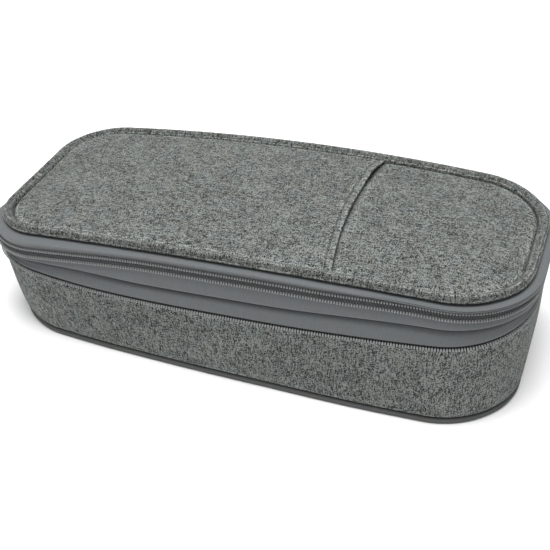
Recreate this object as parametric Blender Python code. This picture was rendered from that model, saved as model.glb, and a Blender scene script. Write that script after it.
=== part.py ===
"""Soft pencil case with two zipped compartments, one above the other.

Every size is in metres, +Z is up and the origin is at the middle of the base. The long side runs
along X, the front faces -Y and the fabric hinges are along the back. A base, a leaf with a stiff
divider and a lid are stacked; the upper zip joins lid and leaf, the lower zip joins leaf and base.
"""
import math

import bmesh
import bpy
from mathutils import Vector

MM = 0.001

# Outline of the case at the zips, seen from above: a rounded rectangle with bowed long sides.
HALF_LENGTH = 113.0 * MM
HALF_WIDTH = 46.3 * MM
LEFT_RADIUS = 24.0 * MM
RIGHT_RADIUS = 31.4 * MM
SIDE_BOW = 3.7 * MM

# The base spreads a little below the zips and its corners are rounder.
BASE_SPREAD = 1.2 * MM
BASE_RADIUS = 33.6 * MM
BASE_BOW = 4.6 * MM

CORNER_STEPS = 6
SHORT_SIDE_STEPS = 2
LONG_SIDE_STEPS = 6

# Heights: the lid is crowned along its length and lower at its left end.
LID_HEIGHT = 54.4 * MM
LID_CROWN = 4.9 * MM
LID_SLOPE = 0.045
RIM_DROP = 1.8 * MM
TAPE_DROP = 7.2 * MM
LEAF_HEIGHT = 42.0 * MM
LEAF_SLOPE = 0.04

# The leaf's lower zip dips in a long lens across the front and closes up at the front corners.
ZIP_DIP_MAX = 8.0 * MM
ZIP_DIP_MIN = 1.8 * MM
DIP_REACH_RIGHT = 131.0 * MM
DIP_REACH_LEFT = 100.0 * MM
DIP_POWER = 4
LEFT_END_EXTRA = 2.7 * MM
LEFT_END_START = 108.4 * MM

# A zip: two rows of teeth, each with a half slot beside it, between two edges of tape.
ROW_INNER = 0.6 * MM
ROW_OUTER = 1.6 * MM
ZIP_HALF = 1.9 * MM

# Layers of the soft walls, outward from the outline.
TAPE_OUT = 0.8 * MM
TAPE_IN = -0.6 * MM
WALL_OUT = 0.4 * MM
WALL_IN = -1.0 * MM
FOAM_OUT = -1.3 * MM
FOAM_IN = -2.5 * MM
LINING_OUT = -2.8 * MM
LINING_IN = -3.4 * MM
GAP = 0.3 * MM
SEAM_BAND_MIN = 1.0 * MM

# Bottom.
PIPING_RADIUS = 2.0 * MM
PIPING_INSET = 1.0 * MM
PANEL_INSET = 3.4 * MM
FLOOR_INSET = 3.8 * MM
WALL_FOOT = 4.3 * MM

# Leaf and its elastic pen loops.
LEAF_INSET = 3.0 * MM
LOOP_COUNT = 5
LOOP_PITCH = 14.5 * MM
LOOP_HALF_WIDTH = 6.0 * MM
LOOP_HEIGHT = 8.3 * MM
ELASTIC = 0.8 * MM
BAND_CENTRE = 20.0 * MM
BAND_WIDTH = 16.0 * MM
BAND_FOOT = 3.0 * MM
LOOP_STEPS = 6

# Lid.
RIM_INSET = 4.6 * MM
BOARD_INSET = 4.9 * MM
LID_LINING_INSET = 1.4 * MM
POCKET_MOUTH = 36.0 * MM
MESH_HALF_LENGTH = 80.0 * MM
MESH_FRONT = 4.0 * MM
MESH_BACK = 37.0 * MM
BINDING_WIDTH = 2.4 * MM

# Hinge lines along the back, above and below the leaf.
HINGE_Y = 51.2 * MM
LEAF_HINGE_BELOW = 3.55 * MM
LID_HINGE_ABOVE = 6.0 * MM

# Zip sliders on the straight left end, and their pull tabs.
SLIDER_Y = 14.0 * MM
SLIDER_LENGTH = 8.4 * MM
SLIDER_HALF_HEIGHT = 3.4 * MM
SLIDER_POST = 0.3 * MM
PLATE = 1.0 * MM
LUG_HEIGHT = 1.5 * MM
LUG_INNER = 2.5 * MM
PULL_LENGTH = 20.0 * MM
PULL_HALF_WIDTH = 2.2 * MM
PULL_THICKNESS = 1.1 * MM
PULL_ROUND_STEPS = 6


def clear_scene():
    for item in list(bpy.data.objects):
        bpy.data.objects.remove(item, do_unlink=True)


def make_material(name, colour, roughness, metallic=0.0):
    material = bpy.data.materials.new(name)
    material.use_nodes = True
    shader = material.node_tree.nodes["Principled BSDF"]
    shader.inputs["Base Color"].default_value = (*colour, 1.0)
    shader.inputs["Roughness"].default_value = roughness
    shader.inputs["Metallic"].default_value = metallic
    return material


def make_materials():
    return {
        "heather": make_material("heather_fabric", (0.16, 0.17, 0.17), 0.95),
        "tape": make_material("tape_fabric", (0.19, 0.21, 0.22), 0.85),
        "coil": make_material("coil_nylon", (0.24, 0.26, 0.28), 0.5),
        "piping": make_material("piping_fabric", (0.07, 0.075, 0.075), 0.9),
        "lining": make_material("lining_fabric", (0.1, 0.105, 0.11), 0.8),
        "foam": make_material("foam", (0.5, 0.5, 0.48), 0.9),
        "board": make_material("board_plastic", (0.35, 0.35, 0.34), 0.6),
        "elastic": make_material("elastic", (0.04, 0.04, 0.045), 0.85),
        "mesh": make_material("mesh", (0.06, 0.065, 0.07), 0.8),
        "metal": make_material("slider_metal", (0.3, 0.31, 0.32), 0.35, 1.0),
    }


class Station:
    """A place on an outline, with its outward normal and its distance from the front's middle."""

    def __init__(self, x, y, normal, run):
        self.x = x
        self.y = y
        self.normal = normal
        self.run = run

    def at(self, out, z):
        return Vector((self.x + self.normal.x * out, self.y + self.normal.y * out, z))


def corner_points(centre_x, centre_y, radius, start_degrees):
    angles = [math.radians(start_degrees + 90 * i / CORNER_STEPS) for i in range(CORNER_STEPS + 1)]
    return [(centre_x + radius * math.cos(a), centre_y + radius * math.sin(a)) for a in angles]


def side_points(start, end, steps):
    return [
        (start[0] + (end[0] - start[0]) * i / steps, start[1] + (end[1] - start[1]) * i / steps)
        for i in range(1, steps)
    ]


def outline(half_x, half_y, left_radius, right_radius, bow):
    """Stations counter-clockwise from the middle of the right end, mirrored front to back."""
    right = half_x - right_radius
    left = left_radius - half_x
    corners = [
        corner_points(right, half_y - right_radius, right_radius, 0),
        corner_points(left, half_y - left_radius, left_radius, 90),
        corner_points(left, left_radius - half_y, left_radius, 180),
        corner_points(right, right_radius - half_y, right_radius, 270),
    ]
    middle = (half_x, 0.0)
    points = [middle] + side_points(middle, corners[0][0], SHORT_SIDE_STEPS // 2)
    sides = (LONG_SIDE_STEPS, SHORT_SIDE_STEPS, LONG_SIDE_STEPS)
    for index, steps in enumerate(sides):
        points += corners[index]
        points += side_points(corners[index][-1], corners[index + 1][0], steps)
    points += corners[3]
    points += side_points(corners[3][-1], middle, SHORT_SIDE_STEPS // 2)
    return stations_from(points, half_x, half_y, right_radius, bow)


def stations_from(points, half_x, half_y, right_radius, bow):
    def bowed(point):
        x, y = point
        return Vector((x, y * (1 + bow / half_y * (1 - (x / half_x) ** 2)), 0))

    count = len(points)
    lengths = [math.dist(points[i], points[(i + 1) % count]) for i in range(count)]
    total = sum(lengths)
    front_to_start = half_x - right_radius + right_radius * math.pi / 2 + half_y - right_radius
    stations = []
    travelled = 0.0
    for i, point in enumerate(points):
        ahead = bowed(points[(i + 1) % count])
        behind = bowed(points[i - 1])
        along = (ahead - behind).normalized()
        run = travelled + front_to_start
        if run > total / 2:
            run -= total
        place = bowed(point)
        stations.append(Station(place.x, place.y, Vector((along.y, -along.x, 0)), run))
        travelled += lengths[i]
    return stations


def lid_level(x):
    """Height of the seam that joins the lid's top panel to its rim."""
    return LID_HEIGHT + LID_CROWN * (1 - (x / HALF_LENGTH) ** 2) + LID_SLOPE * x


def rim_level(x):
    return lid_level(x) - RIM_DROP


def upper_zip_level(x):
    return rim_level(x) - TAPE_DROP


def leaf_level(x):
    return LEAF_HEIGHT + LEAF_SLOPE * x


def smooth(value):
    value = min(1.0, max(0.0, value))
    return value * value * (3 - 2 * value)


def lower_zip_level(station):
    reach = DIP_REACH_RIGHT if station.run > 0 else DIP_REACH_LEFT
    closing = min(1.0, abs(station.run) / reach) ** DIP_POWER
    dip = ZIP_DIP_MIN + (ZIP_DIP_MAX - ZIP_DIP_MIN) * (1 - closing)
    dip += LEFT_END_EXTRA * smooth((-station.x - LEFT_END_START) / (HALF_LENGTH - LEFT_END_START))
    return leaf_level(station.x) - dip


def gusset_seam_level(station):
    """Height of the seam between the leaf's two tapes, where the divider is sewn in."""
    lowest = lower_zip_level(station) + ZIP_HALF + SEAM_BAND_MIN
    highest = upper_zip_level(station.x) - ZIP_HALF - SEAM_BAND_MIN
    return min(highest, max(lowest, leaf_level(station.x)))


def finish_object(name, mesh_builder, material, pivot):
    bmesh.ops.recalc_face_normals(mesh_builder, faces=mesh_builder.faces)
    mesh = bpy.data.meshes.new(name)
    mesh_builder.to_mesh(mesh)
    mesh_builder.free()
    mesh.materials.append(material)
    mesh.shade_smooth()
    mesh.set_sharp_from_angle(angle=math.radians(35))
    item = bpy.data.objects.new(name, mesh)
    bpy.context.collection.objects.link(item)
    if pivot is not None:
        for vertex in mesh.vertices:
            vertex.co -= pivot.matrix_world.translation
        item.parent = pivot
    return item


def loft(name, sections, closed, material, pivot):
    """Skin over equal cross-sections, joined end to end or capped at both ends."""
    builder = bmesh.new()
    rings = [[builder.verts.new(point) for point in section] for section in sections]
    pairs = list(zip(rings, rings[1:]))
    if closed:
        pairs.append((rings[-1], rings[0]))
    else:
        builder.faces.new(rings[0])
        builder.faces.new(rings[-1])
    for first, second in pairs:
        for i in range(len(first)):
            j = (i + 1) % len(first)
            builder.faces.new((first[i], first[j], second[j], second[i]))
    return finish_object(name, builder, material, pivot)


def band_section(station, outer, inner, low, high):
    return [station.at(outer, low), station.at(outer, high), station.at(inner, high), station.at(inner, low)]


def band(name, stations, closed, layer, low, high, material, pivot):
    """Wall of one layer between two heights, which are functions of the station."""
    outer, inner = layer
    sections = [band_section(s, outer, inner, low(s), high(s)) for s in stations]
    return loft(name, sections, closed, material, pivot)


def slab(name, stations, inset, low, high, material, pivot, right_edge=None):
    """Sheet that fills the outline, between two heights that are functions of x."""
    half = len(stations) // 2
    back = [stations[i].at(-inset, 0) for i in range(half + 1)]
    front = [Vector((point.x, -point.y, 0)) for point in back]
    rows = list(zip(back, front))
    if right_edge is not None:
        rows = clip_rows(rows, right_edge)
    builder = bmesh.new()

    def corner(point, level):
        return builder.verts.new((point.x, point.y, level(point.x)))

    def row_corners(pair, level):
        if abs(pair[0].y) < 1e-9:
            tip = corner(pair[0], level)
            return (tip, tip)
        return (corner(pair[0], level), corner(pair[1], level))

    tops = [row_corners(pair, high) for pair in rows]
    bottoms = [row_corners(pair, low) for pair in rows]
    for k in range(len(rows) - 1):
        for sheet in (tops, bottoms):
            add_face(builder, (sheet[k][0], sheet[k + 1][0], sheet[k + 1][1], sheet[k][1]))
        for side in (0, 1):
            add_face(builder, (tops[k][side], tops[k + 1][side], bottoms[k + 1][side], bottoms[k][side]))
    for k in (0, -1):
        add_face(builder, (tops[k][0], tops[k][1], bottoms[k][1], bottoms[k][0]))
    return finish_object(name, builder, material, pivot)


def clip_rows(rows, right_edge):
    """Keep the rows left of an edge and add one on the edge itself."""
    kept = [pair for pair in rows if pair[0].x < right_edge]
    beyond = [pair for pair in rows if pair[0].x >= right_edge][-1]
    share = (right_edge - kept[0][0].x) / (beyond[0].x - kept[0][0].x)
    edge = tuple(kept[0][side].lerp(beyond[side], share) for side in (0, 1))
    return [edge] + kept


def add_face(builder, corners):
    distinct = list(dict.fromkeys(corners))
    if len(distinct) > 2:
        builder.faces.new(distinct)


def make_pivot(name, location, parent=None):
    pivot = bpy.data.objects.new(name, None)
    bpy.context.collection.objects.link(pivot)
    pivot.location = location
    if parent is not None:
        pivot.parent = parent
        pivot.location = Vector(location) - parent.matrix_world.translation
    bpy.context.view_layer.update()
    return pivot


def zipped_run(stations):
    """Stations from one back corner round the left end, the front and the right end to the other."""
    corner_end = SHORT_SIDE_STEPS // 2 + CORNER_STEPS
    spine_end = corner_end + LONG_SIDE_STEPS
    return stations[spine_end:] + stations[: corner_end + 1]


def spine_run(stations):
    """Stations along the straight back, kept just clear of the zips' ends."""
    corner_end = SHORT_SIDE_STEPS // 2 + CORNER_STEPS
    run = stations[corner_end : corner_end + LONG_SIDE_STEPS + 1]
    first, last = run[0], run[-1]
    start = Station(first.x - GAP, first.y, first.normal, first.run)
    end = Station(last.x + GAP, last.y, last.normal, last.run)
    return [start] + run[1:-1] + [end]


def make_piping(base_outline, material):
    angles = [math.radians(60 * i) for i in range(6)]
    height = PIPING_RADIUS / math.cos(math.radians(30))

    def section(station):
        return [
            station.at(
                PIPING_RADIUS * math.cos(a) - PIPING_INSET,
                PIPING_RADIUS + height * math.sin(a),
            )
            for a in angles
        ]

    return loft("bottom_piping", [section(s) for s in base_outline], True, material, None)


def wall_ring(name, base_outline, zip_outline, layer, below, material):
    """Wall from the base's outline at its foot towards the zips' outline, ending below the lower zip."""
    sections = []
    for low, high in zip(base_outline, zip_outline):
        zip_level = lower_zip_level(high)
        top = zip_level - below
        share = (top - WALL_FOOT) / (zip_level - WALL_FOOT)
        feet = [low.at(offset, WALL_FOOT) for offset in layer]
        tops = [foot.lerp(high.at(offset, zip_level), share) for foot, offset in zip(feet, layer)]
        sections.append([feet[0], tops[0], tops[1], feet[1]])
    return loft(name, sections, True, material, None)


def make_base(base_outline, zip_outline, looks):
    make_piping(base_outline, looks["piping"])
    sheets = [
        ("bottom_panel", PANEL_INSET, 0.0, 1.2 * MM, "heather"),
        ("bottom_board", FLOOR_INSET, 1.5 * MM, 2.7 * MM, "board"),
        ("floor_lining", FLOOR_INSET, 3.0 * MM, 3.6 * MM, "lining"),
    ]
    for name, inset, low, high, look in sheets:
        slab(name, base_outline, inset, lambda x, z=low: z, lambda x, z=high: z, looks[look], None)
    walls = [
        ("body_wall", (WALL_OUT, WALL_IN), ZIP_HALF, "heather"),
        ("body_foam", (FOAM_OUT, FOAM_IN), ZIP_HALF + 5.6 * MM, "foam"),
        ("body_lining", (LINING_OUT, LINING_IN), ZIP_HALF + 0.5 * MM, "lining"),
    ]
    for name, layer, below, look in walls:
        wall_ring(name, base_outline, zip_outline, layer, below, looks[look])


def make_zip_row(name, run, level, side, material, pivot):
    """One row of teeth, above (side 1) or below (side -1) the middle of its zip."""
    reach = sorted((side * ROW_INNER, side * ROW_OUTER))
    band(
        name, run, False, (TAPE_OUT, TAPE_IN),
        lambda s: level(s) + reach[0], lambda s: level(s) + reach[1], material, pivot,
    )


def make_leaf(zip_outline, looks, pivot):
    run = zipped_run(zip_outline)
    tape = (TAPE_OUT, TAPE_IN)
    band(
        "gusset_lower", run, False, tape,
        lambda s: lower_zip_level(s) + ZIP_HALF,
        lambda s: gusset_seam_level(s) - GAP / 2, looks["tape"], pivot,
    )
    band(
        "gusset_upper", run, False, tape,
        lambda s: gusset_seam_level(s) + GAP / 2,
        lambda s: upper_zip_level(s.x) - ZIP_HALF, looks["tape"], pivot,
    )
    band(
        "leaf_spine", spine_run(zip_outline), False, tape,
        lambda s: leaf_level(s.x) - LEAF_HINGE_BELOW + GAP / 2,
        lambda s: leaf_level(s.x) + LID_HINGE_ABOVE - GAP / 2, looks["heather"], pivot,
    )
    layers = [
        ("leaf_bottom_lining", LEAF_INSET, -1.4 * MM, -0.8 * MM, "lining"),
        ("leaf_board", LEAF_INSET + 0.4 * MM, -0.5 * MM, 0.5 * MM, "board"),
        ("leaf_top_lining", LEAF_INSET, 0.8 * MM, 1.4 * MM, "lining"),
    ]
    for name, inset, low, high, look in layers:
        slab(
            name, zip_outline, inset,
            lambda x, d=low: leaf_level(x) + d, lambda x, d=high: leaf_level(x) + d, looks[look], pivot,
        )
    make_pen_band(looks["elastic"], pivot)


def pen_band_profile():
    """Pairs of (y, height) points, outer then inner, along the elastic that arches over the pens."""
    reach = LOOP_PITCH * (LOOP_COUNT - 1) / 2
    foot = reach + LOOP_HALF_WIDTH + BAND_FOOT
    pairs = [((-foot, ELASTIC), (-foot, 0.0))]
    for loop in range(LOOP_COUNT):
        centre = loop * LOOP_PITCH - reach
        for step in range(LOOP_STEPS + 1):
            turn = math.pi * (1 - step / LOOP_STEPS)
            outer_height = max(ELASTIC, LOOP_HEIGHT * math.sin(turn))
            inner_height = max(0.0, (LOOP_HEIGHT - ELASTIC) * math.sin(turn))
            outer = (centre + LOOP_HALF_WIDTH * math.cos(turn), outer_height)
            inner = (centre + (LOOP_HALF_WIDTH - ELASTIC) * math.cos(turn), inner_height)
            pairs.append((outer, inner))
    pairs.append(((foot, ELASTIC), (foot, 0.0)))
    return pairs


def make_pen_band(material, pivot):
    left = BAND_CENTRE - BAND_WIDTH / 2
    right = BAND_CENTRE + BAND_WIDTH / 2
    seat = 1.4 * MM + GAP
    sections = []
    for outer, inner in pen_band_profile():
        corners = ((left, outer), (right, outer), (right, inner), (left, inner))
        sections.append([Vector((x, y, leaf_level(x) + seat + height)) for x, (y, height) in corners])
    loft("pen_band", sections, False, material, pivot)


def rim_section(station):
    """Soft roll round the lid: flat underneath, rounded over the top and the outside."""
    shape = ((-4.3, -0.2), (-2.8, 0.6), (-0.8, 0.2), (0.2, -1.1), (0.1, -1.7), (-4.3, -2.5))
    section = []
    for out, rise in shape:
        place = station.at(out * MM, 0)
        place.z = lid_level(place.x) + rise * MM
        section.append(place)
    return section


def make_lid(zip_outline, looks, pivot):
    run = zipped_run(zip_outline)
    tape = (TAPE_OUT, TAPE_IN)
    band(
        "lid_tape", run, False, tape,
        lambda s: upper_zip_level(s.x) + ZIP_HALF, lambda s: rim_level(s.x) - GAP, looks["tape"], pivot,
    )
    band(
        "lid_spine", spine_run(zip_outline), False, tape,
        lambda s: leaf_level(s.x) + LID_HINGE_ABOVE + GAP / 2,
        lambda s: rim_level(s.x) - GAP, looks["heather"], pivot,
    )
    loft("rim_welt", [rim_section(s) for s in zip_outline], True, looks["heather"], pivot)
    layers = [
        ("top_panel", RIM_INSET, -1.1 * MM, 0.3 * MM, "heather", None),
        ("pocket_panel", RIM_INSET, 0.6 * MM, 1.8 * MM, "heather", POCKET_MOUTH),
        ("lid_board", BOARD_INSET, -2.6 * MM, -1.4 * MM, "board", None),
        ("lid_lining", LID_LINING_INSET, -3.6 * MM, -3.0 * MM, "lining", None),
    ]
    for name, inset, low, high, look, edge in layers:
        slab(
            name, zip_outline, inset,
            lambda x, d=low: lid_level(x) + d, lambda x, d=high: lid_level(x) + d, looks[look], pivot, edge,
        )
    make_mesh_pocket(looks, pivot)


def make_mesh_pocket(looks, pivot):
    """Flat mesh pocket under the lid's lining, with an elastic binding along its mouth."""
    strips = [
        ("mesh_pocket", MESH_FRONT, MESH_BACK, -4.5 * MM, "mesh"),
        ("mesh_binding", MESH_FRONT - GAP - BINDING_WIDTH, MESH_FRONT - GAP, -4.8 * MM, "elastic"),
    ]
    steps = 8
    for name, front, back, low, look in strips:
        sections = []
        for i in range(steps + 1):
            x = MESH_HALF_LENGTH * (2 * i / steps - 1)
            corners = ((front, low), (front, -3.9 * MM), (back, -3.9 * MM), (back, low))
            sections.append([Vector((x, y, lid_level(x) + depth)) for y, depth in corners])
        loft(name, sections, False, looks[look], pivot)


def extrude_profile(name, profile, start, end, material, pivot):
    """Solid with one (x, z) profile, from start to end along Y."""
    sections = [[Vector((x, y, z)) for x, z in profile] for y in (start, end)]
    return loft(name, sections, False, material, pivot)


def make_slider(name, level, material, pivot):
    """Two plates joined by a post that runs between the teeth, with lugs for the pull outside."""
    wall = -HALF_LENGTH
    inner = wall - TAPE_IN + 2 * GAP
    outer = wall - TAPE_OUT - GAP
    tall = SLIDER_HALF_HEIGHT
    lug = outer - PLATE - LUG_HEIGHT
    upper = [
        (inner, SLIDER_POST), (inner, tall), (inner + PLATE, tall),
        (inner + PLATE, -tall), (inner, -tall), (inner, -SLIDER_POST),
        (outer, -SLIDER_POST), (outer, -tall), (lug, -tall), (lug, -LUG_INNER),
        (outer - PLATE, -LUG_INNER), (outer - PLATE, LUG_INNER), (lug, LUG_INNER), (lug, tall),
        (outer, tall), (outer, SLIDER_POST),
    ]
    profile = [(x, level + height) for x, height in upper]
    half = SLIDER_LENGTH / 2
    extrude_profile(name, profile, SLIDER_Y - half, SLIDER_Y + half, material, pivot)


def make_pull(name, level, material, pivot):
    """Flat tab with a rounded end, lying along the wall from the slider towards the front."""
    inner = -HALF_LENGTH - TAPE_OUT - 2 * GAP - PLATE
    outer = inner - PULL_THICKNESS
    length = PULL_LENGTH - PULL_HALF_WIDTH
    shape = [(0.0, PULL_HALF_WIDTH), (0.0, -PULL_HALF_WIDTH)]
    for step in range(PULL_ROUND_STEPS + 1):
        turn = math.pi * (step / PULL_ROUND_STEPS - 0.5)
        shape.append((length + PULL_HALF_WIDTH * math.cos(turn), PULL_HALF_WIDTH * math.sin(turn)))
    sections = [[Vector((x, SLIDER_Y - along, level + up)) for along, up in shape] for x in (inner, outer)]
    loft(name, sections, False, material, pivot)


def make_closure(number, level, carrier, material):
    """Slider of one zip with its pull; carrier is the pivot of the part it travels with."""
    travel = make_pivot(f"zip{number}_travel", (-HALF_LENGTH, SLIDER_Y, level), carrier)
    make_slider(f"zip{number}_slider", level, material, travel)
    swing_x = -HALF_LENGTH - TAPE_OUT - 2 * GAP - PLATE - PULL_THICKNESS / 2
    swing = make_pivot(f"zip{number}_swing", (swing_x, SLIDER_Y, level), travel)
    make_pull(f"zip{number}_pull", level, material, swing)


def main():
    clear_scene()
    looks = make_materials()
    zip_outline = outline(HALF_LENGTH, HALF_WIDTH, LEFT_RADIUS, RIGHT_RADIUS, SIDE_BOW)
    base_outline = outline(
        HALF_LENGTH + BASE_SPREAD, HALF_WIDTH + BASE_SPREAD, BASE_RADIUS, BASE_RADIUS, BASE_BOW
    )
    leaf_hinge = make_pivot("leaf_hinge", (0, HINGE_Y, LEAF_HEIGHT - LEAF_HINGE_BELOW))
    lid_hinge = make_pivot("lid_hinge", (0, HINGE_Y, LEAF_HEIGHT + LID_HINGE_ABOVE), leaf_hinge)
    make_base(base_outline, zip_outline, looks)
    make_leaf(zip_outline, looks, leaf_hinge)
    make_lid(zip_outline, looks, lid_hinge)
    run = zipped_run(zip_outline)
    rows = [
        ("zip1_upper_row", lambda s: upper_zip_level(s.x), 1, lid_hinge),
        ("zip1_lower_row", lambda s: upper_zip_level(s.x), -1, leaf_hinge),
        ("zip2_upper_row", lower_zip_level, 1, leaf_hinge),
        ("zip2_lower_row", lower_zip_level, -1, None),
    ]
    for name, level, side, pivot in rows:
        make_zip_row(name, run, level, side, looks["coil"], pivot)
    left_end = min(zip_outline, key=lambda s: s.x + abs(s.y))
    make_closure(1, upper_zip_level(left_end.x), leaf_hinge, looks["metal"])
    make_closure(2, lower_zip_level(left_end), None, looks["metal"])


main()
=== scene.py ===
"""Looks of the two-compartment pencil case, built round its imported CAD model.

Shapes are worked out in millimetres, in the CAD's frame, and become metres when a mesh is made: +X along
the case, the front faces -Y and +Z is up. The cloth follows the same outline and heights as the CAD: an
outline of arcs and bowed sides, a crowned lid that slopes down to the left, and a lower zip that dips in
a long lens across the front.
"""
import math

import bmesh
import bpy
import numpy as np
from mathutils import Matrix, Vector


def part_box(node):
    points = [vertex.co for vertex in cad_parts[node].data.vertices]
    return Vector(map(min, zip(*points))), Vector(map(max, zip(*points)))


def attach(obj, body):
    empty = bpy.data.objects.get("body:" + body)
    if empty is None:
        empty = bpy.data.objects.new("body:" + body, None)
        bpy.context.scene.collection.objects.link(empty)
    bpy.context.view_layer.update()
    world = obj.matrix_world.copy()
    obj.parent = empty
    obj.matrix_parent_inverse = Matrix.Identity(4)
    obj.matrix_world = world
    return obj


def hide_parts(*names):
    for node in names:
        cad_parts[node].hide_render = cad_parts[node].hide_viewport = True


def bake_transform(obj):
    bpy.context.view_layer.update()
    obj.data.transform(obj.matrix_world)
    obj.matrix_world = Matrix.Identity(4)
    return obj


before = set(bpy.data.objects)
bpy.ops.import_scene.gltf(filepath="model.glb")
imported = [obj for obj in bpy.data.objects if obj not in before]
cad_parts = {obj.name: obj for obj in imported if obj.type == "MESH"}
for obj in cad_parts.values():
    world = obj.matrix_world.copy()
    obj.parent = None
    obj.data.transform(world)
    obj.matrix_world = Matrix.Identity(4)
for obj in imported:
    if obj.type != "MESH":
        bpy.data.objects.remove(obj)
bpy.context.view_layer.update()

MM = 0.001

# The CAD's driving sizes, as in its source: (half length, half width, left and right radius, bow).
ZIP_SHAPE = (113.0, 46.3, 24.0, 31.4, 3.7)
BASE_SHAPE = (114.2, 47.5, 33.6, 33.6, 4.6)
HALF_LENGTH = ZIP_SHAPE[0]
LID_HEIGHT = 54.4
LID_CROWN = 4.9
LID_SLOPE = 0.045
RIM_DROP = 1.8
TAPE_DROP = 7.2
LEAF_HEIGHT = 42.0
LEAF_SLOPE = 0.04
ZIP_DIP_MAX = 8.0
ZIP_DIP_MIN = 1.8
DIP_REACH_RIGHT = 131.0
DIP_REACH_LEFT = 100.0
DIP_POWER = 4
LEFT_END_EXTRA = 2.7
LEFT_END_START = 108.4
ZIP_HALF = 1.9
WALL_FOOT = 2.7
RIM_INSET = 4.8
BOARD_INSET = 8.0
POCKET_MOUTH = 36.0
LID_FOLD_ABOVE = 6.0

# Camera, fitted to the photograph's outline; its distances are in metres.
CAMERA_AZIMUTH = math.radians(19.4911)
CAMERA_ELEVATION = math.radians(35.7755)
CAMERA_TARGET = Vector((0.0, 0.0, 22.6 * MM))
CAMERA_RIGHT = 1.27 * MM
CAMERA_UP = -2.5 * MM
CAMERA_DISTANCE = 493.65 * MM
CAMERA_LENS = 73.78

# The fabric spine along the back, and the lines that it folds on.
SPINE_LEFT = -91.2
SPINE_RIGHT = 83.8
LEAF_FOLD = 3.55
# Elastic pen loops on the leaf.
LOOPS = 5
LOOP_PITCH = 14.5
LOOP_HALF = 5.6
LOOP_HEIGHT = 7.4
LOOP_FOOT = 2.4
LOOP_SEAT = 1.7
BAND_X = 20
BAND_HALF = 7.9
ELASTIC = 0.75
TACK_POINTS = 40
# Sliders and pulls on the left end.
SLIDER_Y = 14
PIN_X = -115.95
SLOT_PLACE = 14.6
SLOT_LONG = 3.2
SLOT_WIDE = 1.05
SLOT_POWER = 2.8
# Net pocket under the lid.
NET_HALF = 79
NET_FRONT = 3.4
NET_BACK = 37
NET_MOUTH = 2.6
NET_BELOW = 4.0
NET_THICK = 0.5
NET_CELL = 2.3
NET_RIB = 0.62
NET_CORNER = 6

# One nylon tooth, and how many of its sections lie in the light ridge near its root; the sections past them
# are painted dark, a painted shade in the zip's groove.
TOOTH_PITCH = 1.12
TOOTH_HALF = 0.33
TOOTH_THICK = 0.34
RIDGE_SECTIONS = 4
# Distance between the places of a cloth's mesh.
SPACING = 1.6
# Shares of the way from a panel's seam to its middle line where it has mesh points.
PANEL_RINGS = [0, 0.008, 0.02, 0.036, 0.055, 0.078, 0.105, 0.14, 0.18, 0.23, 0.29, 0.36, 0.44, 0.53, 0.63,
               0.74, 0.86, 1.0]
DENSE_RINGS = [0, 0.007, 0.016, 0.027, 0.04, 0.055, 0.073, 0.094, 0.12, *np.linspace(0.15, 1.0, 24)]

# The lists below give levels by distance along the outline from the front's middle, positive to the right.
# How far the lid's tape swells out beyond the rim: most at the left front corner, and not at all on
# the left end, where the sliders run close to it.
SWELL = [(-209, 0.0), (-171, 0.4), (-150, 0.0), (-132, 0.0), (-115, 2.8), (-92, 2.9), (-30, 0.9), (40, 0.8),
         (110, 2.0), (165, 2.0), (205, 0.0)]
# Share of the way that the lower gusset hangs over the lower zip: none where its slider runs.
HANG = [(-209, 0.6), (-171, 0.3), (-150, 0.0), (-132, 0.0), (-112, 1.0), (150, 1.0), (205, 0.5)]
# How far the cloth's own lines lie above the CAD's: the upper zip, the fold between the two bands and
# the lower zip. All are 0 where the sliders run.
UPPER_LIFT = [(-132, 0.0), (-30, 1.3), (35, 1.4), (82, 3.6), (150, 3.6), (200, 0.0)]
SEAM_LIFT = [(-132, 0.0), (-75, 0.1), (-38, -1.4), (10, -0.8), (80, 1.7), (150, 1.5), (200, 0.0)]
LOWER_LIFT = [(-132, 0.0), (-70, 0.7), (10, 1.1), (85, 2.1), (150, 2.1), (200, 0.0)]
# How far the wall's foot is drawn in under the body.
FOOT_IN = [(-209, 1.0), (-160, 3.0), (-118, 3.0), (-60, 1.9), (0.0, 1.8), (60, 0.8), (209, 1.0)]
# The same for the flat panels, by place along the case.
PANEL_IN = [(-114, 3.0), (-95, 1.9), (0.0, 1.8), (50, 1.0)]


def add_object(name, data):
    item = bpy.data.objects.new(name, data)
    bpy.context.scene.collection.objects.link(item)
    return item


def aim(item, place, direction, axis):
    item.location = place
    item.rotation_mode = "QUATERNION"
    item.rotation_quaternion = direction.to_track_quat(axis, "Y")


def make_camera():
    azimuth, elevation = CAMERA_AZIMUTH, CAMERA_ELEVATION
    right = Vector((math.cos(azimuth), math.sin(azimuth), 0.0))
    facing = Vector((math.sin(azimuth), -math.cos(azimuth), 0.0))
    back = facing * math.cos(elevation) + Vector((0.0, 0.0, math.sin(elevation)))
    up = back.cross(right)
    data = bpy.data.cameras.new("camera")
    data.lens = CAMERA_LENS
    data.sensor_width = 36.0
    data.clip_start = 0.01
    data.clip_end = 20.0
    camera = add_object("camera", data)
    place = CAMERA_TARGET + right * CAMERA_RIGHT + up * CAMERA_UP + back * CAMERA_DISTANCE
    aim(camera, place, -back, "-Z")
    bpy.context.scene.camera = camera


def make_light(name, place, size, power):
    data = bpy.data.lights.new(name, "AREA")
    data.size = size
    data.energy = power
    aim(add_object(name, data), place, Vector(place), "Z")


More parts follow.
